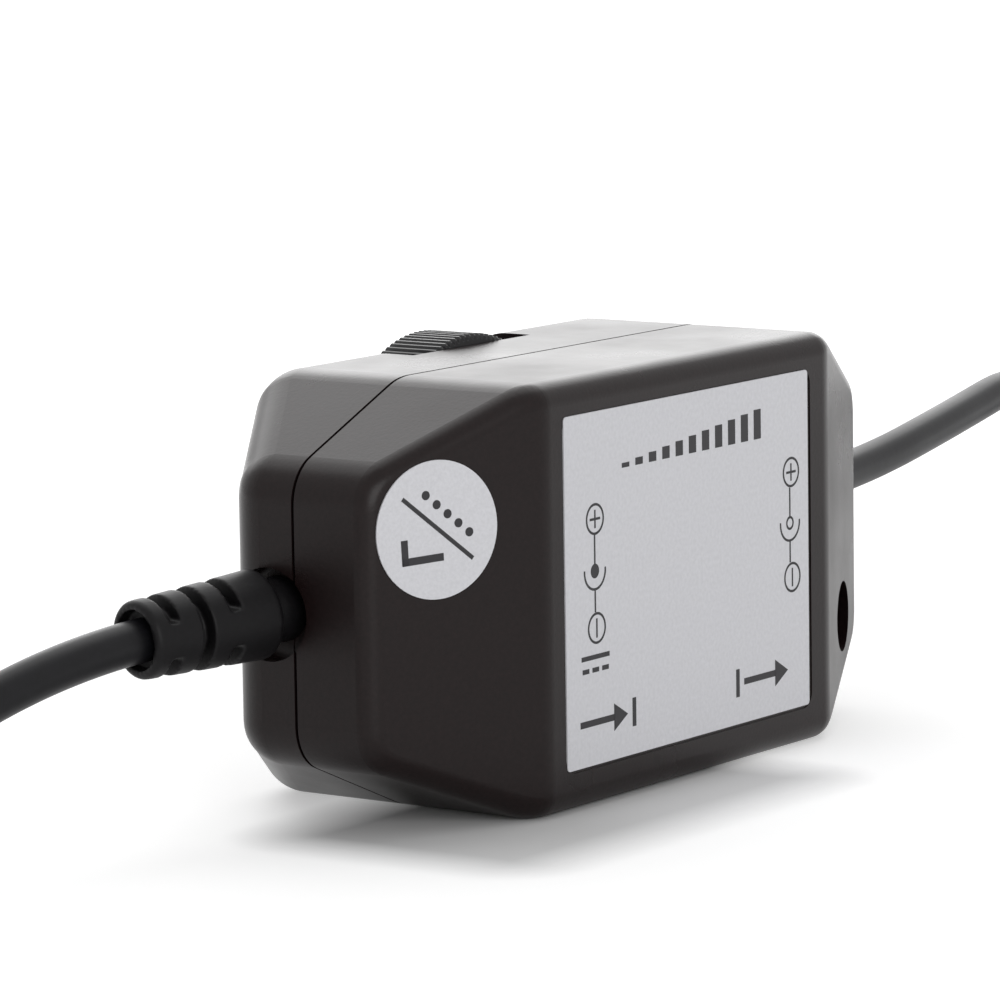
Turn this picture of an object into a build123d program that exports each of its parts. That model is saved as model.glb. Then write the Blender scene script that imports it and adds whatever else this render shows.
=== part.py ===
"""In-line dimmer for a low-voltage lamp strip: a two-piece moulded case with a thumb wheel,
a cord with a boot at each end, a barrel jack on one cord and a barrel plug on the other.

Frame: +X runs along the case towards the output cord, +Y from the label to the back and +Z up.
The case stands on its long narrow side, and the origin is under the middle of its box.
"""
from build123d import *
from math import cos, pi, radians, sin, sqrt, tan
import os

os.makedirs("parts", exist_ok=True)

# Case, in millimetres
case_length = 82.9
case_height = 40.0
front_depth = 15.7          # from the parting plane to the label face
rear_depth = 16.2           # from the parting plane to the back face
end_cut_long = 16.45        # sloped ends and cut corners, along the case
end_cut_high = 6.95         # cut corners, up the case
front_fold_run = 17.45      # from the end to the front face's fold
front_end_depth = 8.15      # upright end wall in front of the parting plane
rear_end_depth = 6.35       # upright end wall behind it
wall = 1.8
back_wall = 1.5
end_corner_round = 4.6
side_corner_round = 8.0
front_fold_round = 4.0
rear_fold_round = 6.5
front_rim_round = 2.2
rear_rim_round = 4.4
hollow_rim_round = 2.6
seam_width = 0.3
tongue_height = 1.5
tongue_thickness = 0.8
tongue_clearance = 0.1

# Label and seal
label_length = 41.65
label_height = 32.75
label_along = -0.5
label_rise = 0.4            # its middle above the case's middle
label_thickness = 0.2
label_proud = 0.1
label_corner_round = 1.5
label_clearance = 0.1
label_slack_along = 0.5     # the seat is larger at its right and lower edges
label_slack_up = 0.2
seal_radius = 6.3
seal_thickness = 0.15
seal_along = 34.75
seal_up = 27.9

# Case screws
screw_along = 33.0
screw_off_middle = 9.43
screw_radius = 1.5
screw_hole_clearance = 0.2
screw_length = 12.0
screw_head_radius = 2.8
screw_head_height = 2.0
screw_head_round = 0.9
well_radius = 3.5
well_wall = 1.4
well_floor = 3.0
rear_boss_radius = 4.0
pilot_depth = 10.5

# Thumb wheel and the potentiometer behind it
wheel_radius = 15.0
wheel_along = -0.8
wheel_drop = 13.95          # its axis below the top of the case
wheel_thickness = 6.2
wheel_back_wall = 0.95      # left of the case behind it
wheel_gap = 0.4
wheel_face_gap = 0.15
wheel_end_gap = 0.64
knurl_count = 100
knurl_depth = 0.4
wheel_rim = 3.0
wheel_web = 2.2
wheel_hub_radius = 5.5
shaft_radius = 3.0
shaft_flat = 1.5
shaft_clearance = 0.05
shaft_depth = 4.0
pot_radius = 8.5
pot_height = 7.0
pot_bush_radius = 4.5
pot_bush_height = 2.0
pot_edge_round = 0.8
pot_pin_pitch = 5.0
pot_pin_width = 1.0
pot_pin_thickness = 0.4
pot_pin_drop = 10.5
pot_pin_stub = 1.0
pot_foot_width = 12.0
pot_foot_height = 3.2
pot_foot_thickness = 2.0

# Circuit board, held between posts of the two shells
board_length = 48.0
board_margin = 4.5          # below and above it in the case
board_thickness = 1.6
board_set_back = 1.0        # its back face in front of the parting plane
board_corner_round = 1.5
post_radius = 2.2
post_along = 20.0
post_inset = 4.5
peg_radius = 1.1
peg_clearance = 0.1
peg_short = 0.2

# Parts soldered to the front of the board, each placed above or below the row of pins
transistor_width = 10.2
transistor_length = 9.0
transistor_height = 4.4
transistor_tab_length = 6.3
transistor_tab_thickness = 1.3
transistor_hole_radius = 1.8
transistor_along = 12.5
transistor_rise = 3.45
leg_width = 0.8
leg_thickness = 0.5
leg_length = 3.5
leg_pitch = 2.54
capacitor_radius = 4.0
capacitor_height = 9.0
capacitor_along = -13.0
capacitor_rise = -3.55
capacitor_groove = 0.3
capacitor_groove_place = 1.6
chip_length = 9.6
chip_width = 6.4
chip_height = 3.3
chip_along = -2.5
chip_rise = -4.55
chip_leg_count = 4
chip_notch_radius = 0.9
chip_notch_depth = 0.4
film_length = 7.2
film_width = 2.6
film_height = 6.5
film_along = -13.0
film_rise = 4.95
resistor_radius = 1.2
resistor_length = 6.0
resistor_waist = 0.25
resistor_count = 3
resistor_pitch = 3.4
resistor_along = -3.0
resistor_rise = 2.95
diode_radius = 1.35
diode_length = 5.2
diode_along = -13.0
diode_rise = 11.95
wire_leg_radius = 0.35
wire_leg_reach = 2.2
wire_leg_drop = 0.5

# Cords and their boots
cord_radius = 2.0
gland_up = 20.3
gland_back = 2.95           # cord axis behind the parting plane
gland_hole_radius = 4.3
gland_hole_up = 20.0
gland_pad_half = 6.6
gland_pad_thickness = 1.6
flange_half_high = 4.9
flange_corner_round = 1.2
flange_clearance = 0.15
flange_thickness = 1.6
neck_radius = 3.0
neck_clearance = 0.05
neck_outside = 1.2
boot_length = 13.8
boot_base_radius = 4.17
boot_tip_radius = 3.57
boot_base_round = 0.5
boot_tip_round = 0.6
boot_mouth_radius = 2.75
boot_mouth_depth = 1.6
slot_count = 3
slot_first = 4.9
slot_pitch = 3.3
slot_width = 1.2
slot_floor_radius = 2.4
bridge_width = 3.2
input_lean = (15.0, -3.6)   # boot turned towards the back and upwards, in degrees
output_lean = (6.6, 0.3)
input_straight = 22.0       # from the end wall to the cord's first bend
output_straight = 24.0
arc_share = 0.45            # of the shorter run, taken by the arc at a bend

# Single leads from the cord's end to the board
jacket_inside = 13.0
lead_radius = 0.7
lead_apart = 0.95
lead_pad_along = 21.6
lead_bend_radius = 2.0

# Jack and plug
end_moulding_radius = 5.0
jack_length = 29.0
plug_length = 25.0
moulding_neck_radius = 3.1
moulding_neck_length = 8.0
moulding_round = 0.8
grip_count = 4
grip_pitch = 2.2
grip_width = 0.9
grip_depth = 0.5
grip_start = 10.5
socket_depth = 10.0
socket_radius = 2.85
sleeve_thickness = 0.3
jack_pin_radius = 1.05
jack_pin_short = 0.8
jack_pin_root = 2.0
jack_pin_tip_round = 0.5
barrel_radius = 2.75
barrel_length = 9.5
barrel_root = 3.0
barrel_root_radius = 2.2    # narrower where it is moulded in
barrel_root_bore = 1.5
barrel_shoulder = 0.5
barrel_bore_radius = 1.3
barrel_wall = 0.35
barrel_contact_depth = 8.5
insulator_lip = 0.8

# Planes that the pieces share
total_depth = label_proud + front_depth + rear_depth
label_outer = -total_depth / 2
front_face = label_outer + label_proud
parting = front_face + front_depth
back_face = parting + rear_depth
half_length = case_length / 2
face_half = half_length - end_cut_long
front_fold_half = half_length - front_fold_run
middle_up = case_height / 2
wheel_up = case_height - wheel_drop
wheel_front = rear_depth - wheel_back_wall - wheel_face_gap - wheel_thickness
pin_row_up = wheel_up - pot_pin_drop
board_height = case_height - 2 * board_margin
board_back = parting - board_set_back
board_front = board_back - board_thickness
gland_axis = parting + gland_back
back_inside = back_face - back_wall
beyond = 6.0                # how far a cut runs past what it cuts


def facing_front(place):
    """Plane seen from the label side, X to the right and Z up, its normal towards the label."""
    return Plane(origin=(0, place, 0), x_dir=(1, 0, 0), z_dir=(0, -1, 0))


def draw_case_outline(inset, mode=Mode.ADD):
    """The case's eight-sided outline from the front, drawn in by inset."""
    with BuildSketch(mode=Mode.PRIVATE) as outline:
        with BuildLine():
            Polyline(
                (-half_length, end_cut_high),
                (-face_half, 0),
                (face_half, 0),
                (half_length, end_cut_high),
                (half_length, case_height - end_cut_high),
                (face_half, case_height),
                (-face_half, case_height),
                (-half_length, case_height - end_cut_high),
                close=True,
            )
        make_face()
        columns = outline.vertices().group_by(Axis.X)
        fillet(columns[0] + columns[-1], end_corner_round)
        long_side_corners = [
            corner for corner in outline.vertices() if abs(abs(corner.X) - face_half) < seam_width
        ]
        fillet(long_side_corners, side_corner_round)
        if inset > 0:
            offset(amount=-inset)
    add(outline.sketch, mode=mode)


def case_block(towards, depth, end_depth, fold_half, fold_round, inset, face_inset, rim_round):
    """Half of the case as one block, from the parting plane to its face, drawn in by the insets."""
    slope = (depth - end_depth) / (half_length - fold_half)
    with BuildPart() as block:
        with BuildSketch(facing_front(parting)):
            draw_case_outline(inset)
        extrude(amount=-towards * depth)
        with BuildSketch() as plan:
            with BuildLine():
                Polyline(
                    (-half_length - beyond, parting - towards * beyond),
                    (-half_length - beyond, parting + towards * (end_depth - slope * beyond)),
                    (-fold_half, parting + towards * depth),
                    (fold_half, parting + towards * depth),
                    (half_length + beyond, parting + towards * (end_depth - slope * beyond)),
                    (half_length + beyond, parting - towards * beyond),
                    close=True,
                )
            make_face()
            fillet(plan.vertices().sort_by(Axis.Y)[-2:] if towards > 0
                   else plan.vertices().sort_by(Axis.Y)[:2], fold_round)
            if face_inset > 0:
                offset(amount=-face_inset)
        extrude(amount=case_height, mode=Mode.INTERSECT)
        if rim_round > 0:
            upright = block.edges().filter_by(Axis.Z)
            fold_edges = [edge for edge in upright if abs(edge.center().X) < half_length - inset - seam_width]
            rim = [
                edge for edge in block.edges().filter_by(Axis.Y, reverse=True)
                if abs(edge.center().Y - parting) > seam_width and edge not in fold_edges
            ]
            fillet(rim, rim_round)
    return block.part


def screw_places():
    """The two screws sit at opposite corners of the case."""
    return [
        (screw_along, middle_up - screw_off_middle),
        (-screw_along, middle_up + screw_off_middle),
    ]


def post_places():
    """Board posts, near the board's corners."""
    low = board_margin + post_inset
    high = case_height - low
    return [(-post_along, low), (post_along, low), (-post_along, high), (post_along, high)]


def gland_pad_sketch():
    """The thickening behind both end walls that grips the boots' necks."""
    pad_width = gland_pad_thickness + wall / 2
    pad_middle = half_length - wall - gland_pad_thickness + pad_width / 2
    with Locations((-pad_middle, gland_up), (pad_middle, gland_up)):
        Rectangle(pad_width, 2 * gland_pad_half)


def cut_gland_holes():
    """Round holes for the boots: wide through the end walls, a snug grip through the pads."""
    for side in (-1, 1):
        wall_inside = Plane(origin=(side * (half_length - wall), gland_axis, gland_hole_up),
                            z_dir=(side, 0, 0))
        with BuildSketch(wall_inside) as hole:
            Circle(gland_hole_radius)
        extrude(hole.sketch, amount=wall + beyond, mode=Mode.SUBTRACT)
        grip = Plane(origin=(side * (half_length + beyond), gland_axis, gland_up), z_dir=(-side, 0, 0))
        with BuildSketch(grip) as grip_hole:
            Circle(neck_radius + neck_clearance)
        extrude(grip_hole.sketch, amount=2 * beyond, mode=Mode.SUBTRACT)


# Front shell: moulded cup behind the label, with screw wells, board posts and a tongue round its rim
with BuildPart() as front_hollow:
    add(case_block(-1, front_depth, front_end_depth, front_fold_half, front_fold_round,
                   wall, wall, 0))
    with BuildSketch(facing_front(parting)):
        with Locations(*screw_places()):
            Circle(well_radius + well_wall)
    extrude(amount=front_depth, mode=Mode.SUBTRACT)
    with BuildSketch(facing_front(board_front)):
        with Locations(*post_places()):
            Circle(post_radius)
    extrude(amount=front_depth, mode=Mode.SUBTRACT)
    with BuildSketch(facing_front(parting)):
        gland_pad_sketch()
    extrude(amount=gland_pad_half, mode=Mode.SUBTRACT)

with BuildPart() as front_shell:
    add(case_block(-1, front_depth, front_end_depth, front_fold_half, front_fold_round,
                   0, 0, front_rim_round))
    add(front_hollow.part, mode=Mode.SUBTRACT)
    # the seam shows as a fine groove, and the tongue closes it from inside
    with BuildSketch(facing_front(parting)):
        draw_case_outline(0)
        draw_case_outline(wall - tongue_thickness, mode=Mode.SUBTRACT)
    extrude(amount=seam_width / 2, mode=Mode.SUBTRACT)
    with BuildSketch(facing_front(parting + tongue_height)):
        draw_case_outline(wall - tongue_thickness)
        draw_case_outline(wall, mode=Mode.SUBTRACT)
    extrude(amount=tongue_height + seam_width)
    # pegs that locate the board
    with BuildSketch(facing_front(board_front)):
        with Locations(*post_places()):
            Circle(peg_radius)
    extrude(amount=peg_short - board_thickness)
    # screw wells from the sloped ends, each with a hole through its floor
    with BuildSketch(facing_front(parting - well_floor)):
        with Locations(*screw_places()):
            Circle(well_radius)
    extrude(amount=front_depth, mode=Mode.SUBTRACT)
    with BuildSketch(facing_front(parting)):
        with Locations(*screw_places()):
            Circle(screw_radius + screw_hole_clearance)
    extrude(amount=well_floor, mode=Mode.SUBTRACT)
    # shallow seat of the label
    with BuildSketch(facing_front(front_face)):
        with Locations((label_along + label_slack_along / 2, middle_up + label_rise - label_slack_up / 2)):
            RectangleRounded(label_length + 2 * label_clearance + label_slack_along,
                             label_height + 2 * label_clearance + label_slack_up, label_corner_round)
    extrude(amount=label_proud - label_thickness, mode=Mode.SUBTRACT)
    cut_gland_holes()
front_shell.part.label = "front_shell"
export_step(front_shell.part, "parts/front_shell.step")

# Rear shell: the deeper rounded cup, with screw bosses, the wheel's slot and two board rests
with BuildPart() as rear_hollow:
    add(case_block(1, rear_depth, rear_end_depth, face_half, rear_fold_round,
                   wall, back_wall, hollow_rim_round))
    with BuildSketch(facing_front(parting)):
        with Locations(*screw_places()):
            Circle(rear_boss_radius)
    extrude(amount=-rear_depth, mode=Mode.SUBTRACT)
    with BuildSketch(facing_front(parting)):
        gland_pad_sketch()
    extrude(amount=-gland_back - gland_pad_half, mode=Mode.SUBTRACT)

with BuildPart() as rear_shell:
    add(case_block(1, rear_depth, rear_end_depth, face_half, rear_fold_round, 0, 0, rear_rim_round))
    add(rear_hollow.part, mode=Mode.SUBTRACT)
    with BuildSketch(facing_front(parting)):
        draw_case_outline(0)
        draw_case_outline(wall - tongue_thickness - tongue_clearance, mode=Mode.SUBTRACT)
    extrude(amount=-seam_width / 2, mode=Mode.SUBTRACT)
    with BuildSketch(facing_front(parting)):
        draw_case_outline(wall - tongue_thickness - tongue_clearance)
        draw_case_outline(wall + tongue_clearance, mode=Mode.SUBTRACT)
    extrude(amount=-tongue_height, mode=Mode.SUBTRACT)
    # rests that press on the board from behind
    with BuildSketch(facing_front(back_inside)):
        with Locations(*post_places()[:2]):
            Circle(post_radius)
    extrude(amount=back_inside - board_back)
    # pilot holes for the screws
    with BuildSketch(facing_front(parting)):
        with Locations(*screw_places()):
            Circle(screw_radius)
    extrude(amount=-pilot_depth, mode=Mode.SUBTRACT)
    # slot in the top for the wheel, and the chamber that clears it inside
    slot_start = parting + wheel_front - wheel_face_gap
    with BuildSketch(facing_front(slot_start)):
        slot_half = sqrt((wheel_radius + wheel_gap) ** 2
                         - (case_height - wall - wheel_up) ** 2) + wheel_end_gap - wheel_gap
        with Locations((wheel_along, case_height)):
            Rectangle(2 * slot_half, 2 * (wall + wheel_gap))
        with Locations((wheel_along, wheel_up)):
            Circle(wheel_radius + wheel_gap)
    extrude(amount=-wheel_thickness - 2 * wheel_face_gap, mode=Mode.SUBTRACT)
    cut_gland_holes()
rear_shell.part.label = "rear_shell"
export_step(rear_shell.part, "parts/rear_shell.step")

# Label: a printed plate in its seat, and the round seal over one screw well
with BuildPart() as front_label:
    with BuildSketch(facing_front(front_face + label_thickness - label_proud)):
        with Locations((label_along, middle_up + label_rise)):
            RectangleRounded(label_length, label_height, label_corner_round)
    extrude(amount=label_thickness)
front_label.part.label = "front_label"
export_step(front_label.part, "parts/front_label.step")

facet_run = front_depth - front_end_depth
facet_lean = Vector(-facet_run, -front_fold_run, 0).normalized()
facet_place = parting - front_end_depth - facet_run * (half_length - seal_along) / front_fold_run
with BuildPart() as seal_sticker:
    with BuildSketch(Plane(origin=(-seal_along, facet_place, seal_up), x_dir=(0, 0, 1), z_dir=facet_lean)):
        Circle(seal_radius)
    extrude(amount=seal_thickness)
seal_sticker.part.label = "seal_sticker"
export_step(seal_sticker.part, "parts/seal_sticker.step")

# Two pan-head screws draw the shells together
with BuildPart() as case_screws:
    with BuildSketch(facing_front(parting - well_floor)):
        with Locations(*screw_places()):
            Circle(screw_head_radius)
    extrude(amount=screw_head_height)
    fillet(case_screws.edges().group_by(Axis.Y)[0], screw_head_round)
    with BuildSketch(facing_front(parting - well_floor)):
        with Locations(*screw_places()):
            Circle(screw_radius)
    extrude(amount=-screw_length)
case_screws.part.label = "case_screws"
export_step(case_screws.part, "parts/case_screws.step")

# Thumb wheel: serrated rim, thin web and a hub on the flatted shaft
wheel_start = parting + wheel_front


def wheel_plane(place):
    """Plane across the wheel's axis, its normal towards the back."""
    return Plane(origin=(wheel_along, place, wheel_up), x_dir=(-1, 0, 0), z_dir=(0, 1, 0))


def draw_shaft_section():
    """Round shaft with one flat."""
    Circle(shaft_radius)
    with Locations((0, 2 * shaft_radius - shaft_flat)):
        Rectangle(2 * shaft_radius, 2 * shaft_radius, mode=Mode.SUBTRACT)


with BuildPart() as thumb_wheel:
    with BuildSketch(wheel_plane(wheel_start)):
        with BuildLine():
            half_pitch = 180 / knurl_count
            crests = [(wheel_radius, 2 * half_pitch * number) for number in range(knurl_count)]
            roots = [(wheel_radius - knurl_depth, turn + half_pitch) for _, turn in crests]
            points = [point for pair in zip(crests, roots) for point in pair]
            Polyline(
                *[(radius * cos(radians(turn)), radius * sin(radians(turn))) for radius, turn in points],
                close=True,
            )
        make_face()
    extrude(amount=wheel_thickness)
    with BuildSketch(wheel_plane(wheel_start + wheel_web)):
        Circle(wheel_radius - wheel_rim)
        Circle(wheel_hub_radius, mode=Mode.SUBTRACT)
    extrude(amount=wheel_thickness, mode=Mode.SUBTRACT)
    with BuildSketch(wheel_plane(wheel_start)):
        draw_shaft_section()
    extrude(amount=wheel_thickness, mode=Mode.SUBTRACT)
thumb_wheel.part.label = "thumb_wheel"
export_step(thumb_wheel.part, "parts/thumb_wheel.step")

# Potentiometer: can with a bush in front of the wheel, shaft and three pins through the board
pot_top = board_back + pot_height
bush_top = pot_top + pot_bush_height
shaft_bottom = bush_top - shaft_depth
with BuildPart() as potentiometer_body:
    with BuildSketch(wheel_plane(board_back)):
        Circle(pot_radius)
    extrude(amount=pot_height)
    fillet(potentiometer_body.edges().group_by(Axis.Y)[-1], pot_edge_round)
    with BuildSketch(wheel_plane(board_back)):
        with Locations((0, -pot_radius)):
            Rectangle(pot_foot_width, 2 * pot_foot_height)
    extrude(amount=pot_foot_thickness)
    with BuildSketch(wheel_plane(pot_top)):
        Circle(pot_bush_radius)
    extrude(amount=pot_bush_height)
    with BuildSketch(wheel_plane(bush_top)):
        Circle(shaft_radius + shaft_clearance)
    extrude(amount=-shaft_depth - shaft_clearance, mode=Mode.SUBTRACT)
potentiometer_body.part.label = "potentiometer_body"
export_step(potentiometer_body.part, "parts/potentiometer_body.step")

with BuildPart() as potentiometer_shaft:
    with BuildSketch(wheel_plane(shaft_bottom)):
        Circle(shaft_radius)
    extrude(amount=shaft_depth)
    with BuildSketch(wheel_plane(bush_top)):
        draw_shaft_section()
    extrude(amount=wheel_start + wheel_thickness - bush_top)
potentiometer_shaft.part.label = "potentiometer_shaft"
export_step(potentiometer_shaft.part, "parts/potentiometer_shaft.step")

pin_places = [
    (wheel_along + pot_pin_pitch * (number - 1), pin_row_up) for number in range(3)
]
with BuildPart() as potentiometer_pins:
    with BuildSketch(facing_front(board_back)):
        with Locations(*pin_places):
            Rectangle(pot_pin_width, pot_pin_thickness)
    extrude(amount=board_thickness + pot_pin_stub)
potentiometer_pins.part.label = "potentiometer_pins"
export_step(potentiometer_pins.part, "parts/potentiometer_pins.step")

# Circuit board with holes for the pegs and the potentiometer's pins
with BuildPart() as circuit_board:
    with BuildSketch(facing_front(board_back)):
        with Locations((0, middle_up)):
            RectangleRounded(board_length, board_height, board_corner_round)
        with Locations(*post_places()):
            Circle(peg_radius + peg_clearance, mode=Mode.SUBTRACT)
        with Locations(*pin_places):
            Rectangle(pot_pin_width, pot_pin_thickness, mode=Mode.SUBTRACT)
    extrude(amount=board_thickness)
circuit_board.part.label = "circuit_board"
export_step(circuit_board.part, "parts/circuit_board.step")

# Power transistor lying on the board: moulded case, and a metal tab with three legs
transistor_up = pin_row_up + transistor_rise
tab_end = transistor_up + transistor_length / 2 + transistor_tab_length
with BuildPart() as power_transistor_case:
    with BuildSketch(facing_front(board_front)):
        with Locations((transistor_along, transistor_up)):
            Rectangle(transistor_width, transistor_length)
    extrude(amount=transistor_height)
    with BuildSketch(facing_front(board_front)):
        with Locations((transistor_along, transistor_up)):
            Rectangle(transistor_width, transistor_length)
    extrude(amount=transistor_tab_thickness, mode=Mode.SUBTRACT)
power_transistor_case.part.label = "power_transistor_case"
export_step(power_transistor_case.part, "parts/power_transistor_case.step")

with BuildPart() as power_transistor_tab:
    with BuildSketch(facing_front(board_front)):
        with Locations((transistor_along, (tab_end + transistor_up - transistor_length / 2) / 2)):
            Rectangle(transistor_width, transistor_length + transistor_tab_length)
        with Locations((transistor_along, tab_end - transistor_tab_length / 2)):
            Circle(transistor_hole_radius, mode=Mode.SUBTRACT)
        with Locations((transistor_along, transistor_up - (transistor_length + leg_length) / 2)):
            with GridLocations(leg_pitch, 0, 3, 1):
                Rectangle(leg_width, leg_length)
    extrude(amount=transistor_tab_thickness)
power_transistor_tab.part.label = "power_transistor_tab"
export_step(power_transistor_tab.part, "parts/power_transistor_tab.step")

# Smoothing capacitor: a can on end, with the groove of its rolled neck
capacitor_up = pin_row_up + capacitor_rise
with BuildPart() as filter_capacitor:
    with BuildSketch(facing_front(board_front)):
        with Locations((capacitor_along, capacitor_up)):
            Circle(capacitor_radius)
    extrude(amount=capacitor_height)
    with BuildSketch(facing_front(board_front - capacitor_groove_place)):
        with Locations((capacitor_along, capacitor_up)):
            Circle(capacitor_radius)
            Circle(capacitor_radius - capacitor_groove, mode=Mode.SUBTRACT)
    extrude(amount=2 * capacitor_groove, mode=Mode.SUBTRACT)
    fillet(filter_capacitor.edges().group_by(Axis.Y)[0], capacitor_groove)
filter_capacitor.part.label = "filter_capacitor"
export_step(filter_capacitor.part, "parts/filter_capacitor.step")

# Timer chip with its two rows of legs
chip_up = pin_row_up + chip_rise
with BuildPart() as timer_chip:
    with BuildSketch(facing_front(board_front - leg_thickness)):
        with Locations((chip_along, chip_up)):
            Rectangle(chip_length, chip_width)
    extrude(amount=chip_height)
    with BuildSketch(facing_front(board_front - leg_thickness - chip_height)):
        with Locations((chip_along - chip_length / 2, chip_up)):
            Circle(chip_notch_radius)
    extrude(amount=-chip_notch_depth, mode=Mode.SUBTRACT)
timer_chip.part.label = "timer_chip"
export_step(timer_chip.part, "parts/timer_chip.step")

with BuildPart() as timer_chip_legs:
    with BuildSketch(facing_front(board_front)):
        with Locations((chip_along, chip_up)):
            with GridLocations(leg_pitch, chip_width, chip_leg_count, 2):
                Rectangle(leg_thickness, 2 * leg_width)
    extrude(amount=leg_thickness)
timer_chip_legs.part.label = "timer_chip_legs"
export_step(timer_chip_legs.part, "parts/timer_chip_legs.step")

# Film capacitor of the timer
with BuildPart() as timing_capacitor:
    with BuildSketch(facing_front(board_front)):
        with Locations((film_along, pin_row_up + film_rise)):
            Rectangle(film_length, film_width)
    extrude(amount=film_height)
    fillet(timing_capacitor.edges().filter_by(Axis.Y), capacitor_groove)
timing_capacitor.part.label = "timing_capacitor"
export_step(timing_capacitor.part, "parts/timing_capacitor.step")


def lying_component(along, up, radius, length, waist):
    """A small axial component lying on the board, its wires bent down to the board."""
    axis_place = board_front - radius - wire_leg_drop
    with BuildPart() as component:
        with BuildSketch(Plane(origin=(along - length / 2, axis_place, up), z_dir=(1, 0, 0))):
            Circle(radius)
        extrude(amount=length)
        if waist > 0:
            with BuildSketch(Plane(origin=(along - length / 4, axis_place, up), z_dir=(1, 0, 0))):
                Circle(radius)
                Circle(radius - waist, mode=Mode.SUBTRACT)
            extrude(amount=length / 2, mode=Mode.SUBTRACT)
        for end in (-1, 1):
            with BuildLine() as wire:
                FilletPolyline(
                    (along + end * length / 2, axis_place, up),
                    (along + end * (length / 2 + wire_leg_reach), axis_place, up),
                    (along + end * (length / 2 + wire_leg_reach), board_front, up),
                    radius=2 * wire_leg_radius,
                )
            with BuildSketch(Plane(origin=wire.line @ 0, z_dir=wire.line % 0)):
                Circle(wire_leg_radius)
            sweep(path=wire.line)
    return component.part


# Three resistors in a row, and the diode across the output
with BuildPart() as resistors:
    for number in range(resistor_count):
        add(lying_component(resistor_along, pin_row_up + resistor_rise + number * resistor_pitch,
                            resistor_radius, resistor_length, resistor_waist))
resistors.part.label = "resistors"
export_step(resistors.part, "parts/resistors.step")

with BuildPart() as protection_diode:
    add(lying_component(diode_along, pin_row_up + diode_rise, diode_radius, diode_length, 0))
protection_diode.part.label = "protection_diode"
export_step(protection_diode.part, "parts/protection_diode.step")


def lean_direction(side, lean):
    """Where a boot points: out of the case, turned towards the back and upwards."""
    back_turn, up_turn = (radians(value) for value in lean)
    return Vector(side * cos(back_turn) * cos(up_turn), sin(back_turn) * cos(up_turn), sin(up_turn))


def cord_tube(name, route):
    """A round tube along straight runs joined by arcs as large as the runs allow."""
    corners = [Vector(*point) for point in route]
    runs = [after - before for before, after in zip(corners, corners[1:])]
    radii = [
        arc_share * min(before.length, after.length) / tan(radians(before.get_angle(after)) / 2)
        for before, after in zip(runs, runs[1:])
    ]
    with BuildPart() as tube:
        with BuildLine() as path:
            FilletPolyline(*corners, radius=radii)
        with BuildSketch(Plane(origin=path.line @ 0, z_dir=path.line % 0)):
            Circle(cord_radius)
        sweep(path=path.line)
    section = pi * cord_radius ** 2
    print(name, "length", round(path.wire().length, 1), "radii", [round(radius, 1) for radius in radii],
          "volume ratio", round(tube.part.volume / (section * path.wire().length), 4))
    return tube.part


# Cords: from the board side of each gland, through the boot and down to the rest surface
input_gland = Vector(-half_length, gland_axis, gland_up)
output_gland = Vector(half_length, gland_axis, gland_up)
input_way = lean_direction(-1, input_lean)
output_way = lean_direction(1, output_lean)
input_route = [
    (-half_length + jacket_inside, gland_axis, gland_up),
    tuple(input_gland),
    tuple(input_gland + input_way * input_straight),
    (-81.0, 13.0, 12.4),
    (-101.0, 14.2, 6.2),
    (-121.0, 12.4, end_moulding_radius),
    (-140.0, 11.0, end_moulding_radius),
]
output_route = [
    (half_length - jacket_inside, gland_axis, gland_up),
    tuple(output_gland),
    tuple(output_gland + output_way * output_straight),
    (88.0, 8.4, 22.7),
    (111.0, 12.0, 25.1),
    (131.5, 12.6, 16.0),
    (149.5, 11.6, end_moulding_radius),
    (163.0, 10.8, end_moulding_radius),
]
with BuildPart() as input_cord:
    add(cord_tube("input cord", input_route))
input_cord.part.label = "input_cord"
export_step(input_cord.part, "parts/input_cord.step")

with BuildPart() as output_cord:
    add(cord_tube("output cord", output_route))
output_cord.part.label = "output_cord"
export_step(output_cord.part, "parts/output_cord.step")


# the flange inside the case is as deep as the sloping wall behind it allows
pad_inside = half_length - wall - gland_pad_thickness
rear_slope = (rear_depth - rear_end_depth) / end_cut_long
sloping_wall = rear_end_depth + rear_slope * (half_length - pad_inside)
flange_half_deep = sloping_wall - back_wall * sqrt(1 + rear_slope ** 2) - gland_back - flange_clearance


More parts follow.
